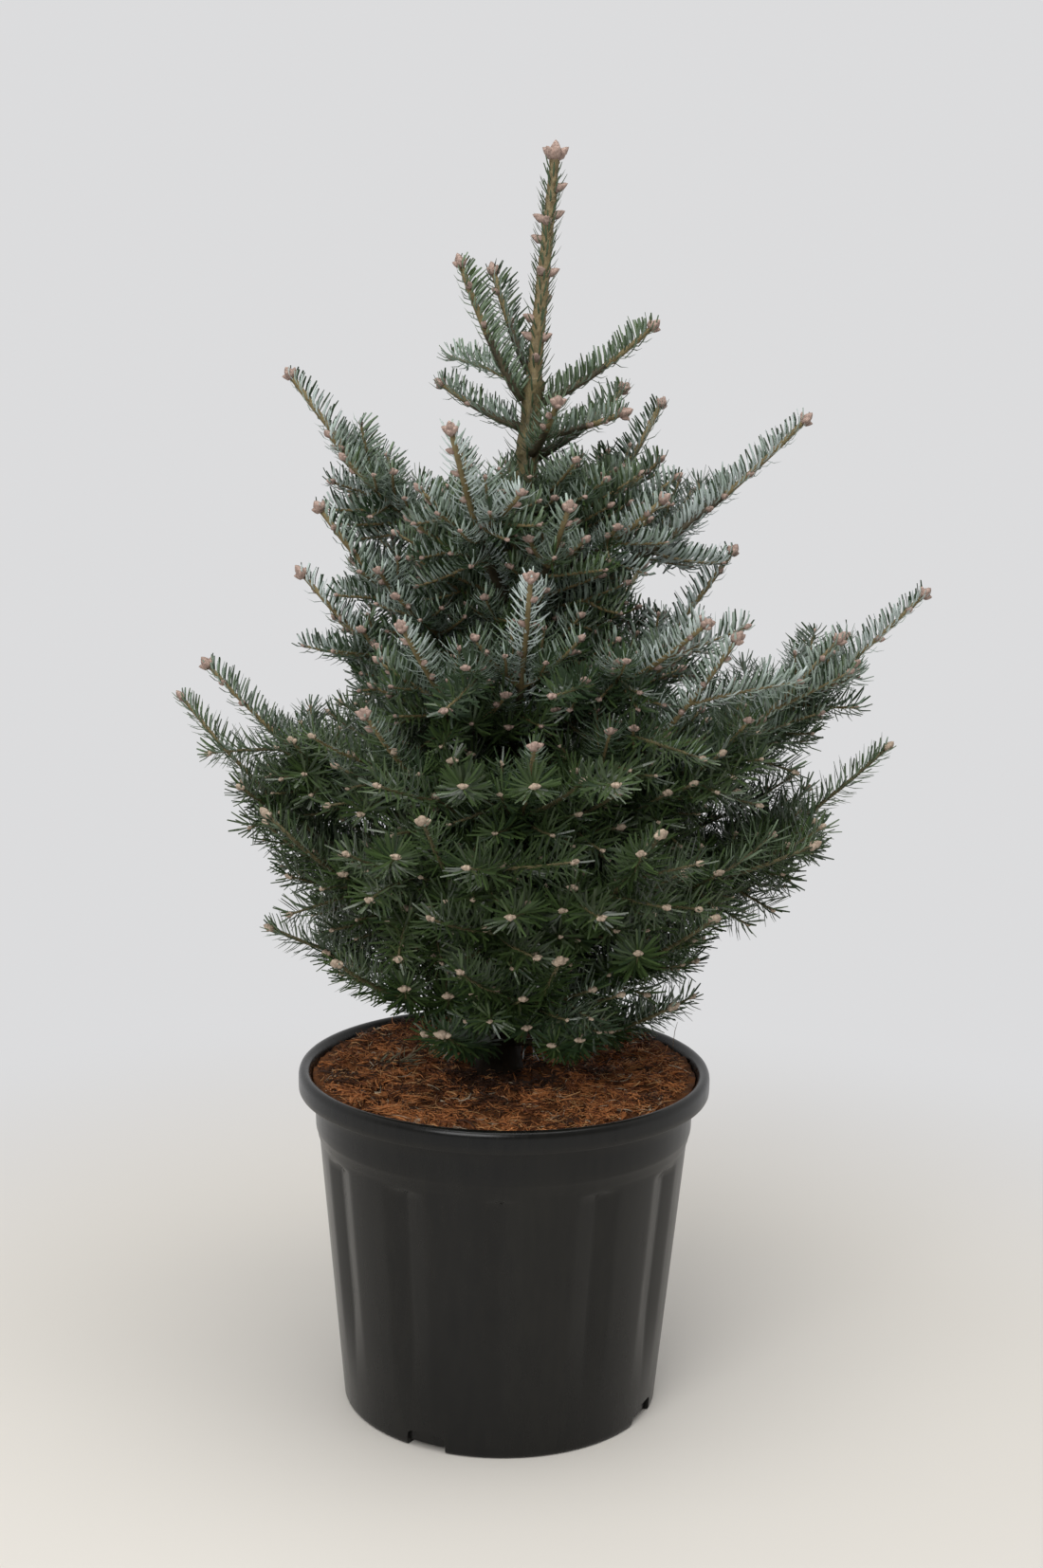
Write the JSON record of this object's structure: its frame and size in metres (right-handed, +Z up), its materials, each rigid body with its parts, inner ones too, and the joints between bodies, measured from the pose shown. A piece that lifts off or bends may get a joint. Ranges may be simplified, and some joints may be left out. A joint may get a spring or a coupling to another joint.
{
  "type": "korean fir in a nursery pot",
  "caption": "Young conifer with silver-green needles and upright buds, standing in a round black nursery pot filled with soil.",
  "frame": {"origin": "centre of the pot's underside, on the ground", "axes": "+Z up along the trunk; -Y is the front that faces the viewer; +X to the viewer's right"},
  "size_m": [0.6253, 0.4807, 1.0545],
  "materials": {
    "pot_plastic": "black satin plastic, a little dusty",
    "soil": "reddish-brown coconut fibre and bark chips",
    "bark": "olive-brown young bark, dull",
    "silver_needles": "blue-green needles with silver undersides",
    "green_needles": "dark green needles"
  },
  "bodies": {
    "root": {"between_1_spray": "silver_needles", "between_2_spray": "silver_needles", "between_3_spray": "silver_needles", "broad_1_bough": "bark", "broad_1_spray": "green_needles", "broad_2_spray": "green_needles", "broad_3_spray": "green_needles", "broad_4_spray": "green_needles", "broad_5_spray": "green_needles", "broad_6_bough": "bark", "broad_6_spray": "green_needles", "broad_7_bough": "bark", "broad_7_spray": "green_needles", "broad_8_spray": "green_needles", "collar_1_spray": "silver_needles", "collar_2_spray": "silver_needles", "collar_3_spray": "silver_needles", "collar_4_spray": "silver_needles", "crown_1_spray": "silver_needles", "crown_2_spray": "silver_needles", "crown_3_spray": "silver_needles", "foot_1_spray": "green_needles", "foot_2_spray": "green_needles", "foot_3_spray": "green_needles", "low_1_bough": "bark", "low_1_spray": "green_needles", "low_2_spray": "green_needles", "low_3_spray": "green_needles", "low_4_spray": "green_needles", "low_5_spray": "green_needles", "low_6_spray": "green_needles", "low_7_spray": "green_needles", "low_8_spray": "green_needles", "middle_1_spray": "silver_needles", "middle_2_spray": "silver_needles", "middle_3_spray": "silver_needles", "middle_4_bough": "bark", "middle_4_spray": "silver_needles", "middle_5_spray": "silver_needles", "middle_6_spray": "silver_needles", "middle_7_spray": "silver_needles", "pot": "pot_plastic", "skirt_1_spray": "green_needles", "skirt_2_spray": "green_needles", "skirt_3_spray": "green_needles", "skirt_4_spray": "green_needles", "skirt_5_spray": "green_needles", "skirt_6_spray": "green_needles", "skirt_7_spray": "green_needles", "soil": "soil", "trunk": "bark", "upper_1_bough": "bark", "upper_1_spray": "silver_needles", "upper_2_spray": "silver_needles", "upper_3_spray": "silver_needles", "upper_4_spray": "silver_needles", "upper_5_bough": "bark", "upper_5_spray": "silver_needles", "upper_6_spray": "silver_needles", "upper_7_spray": "silver_needles"}
  },
  "joints": []
}
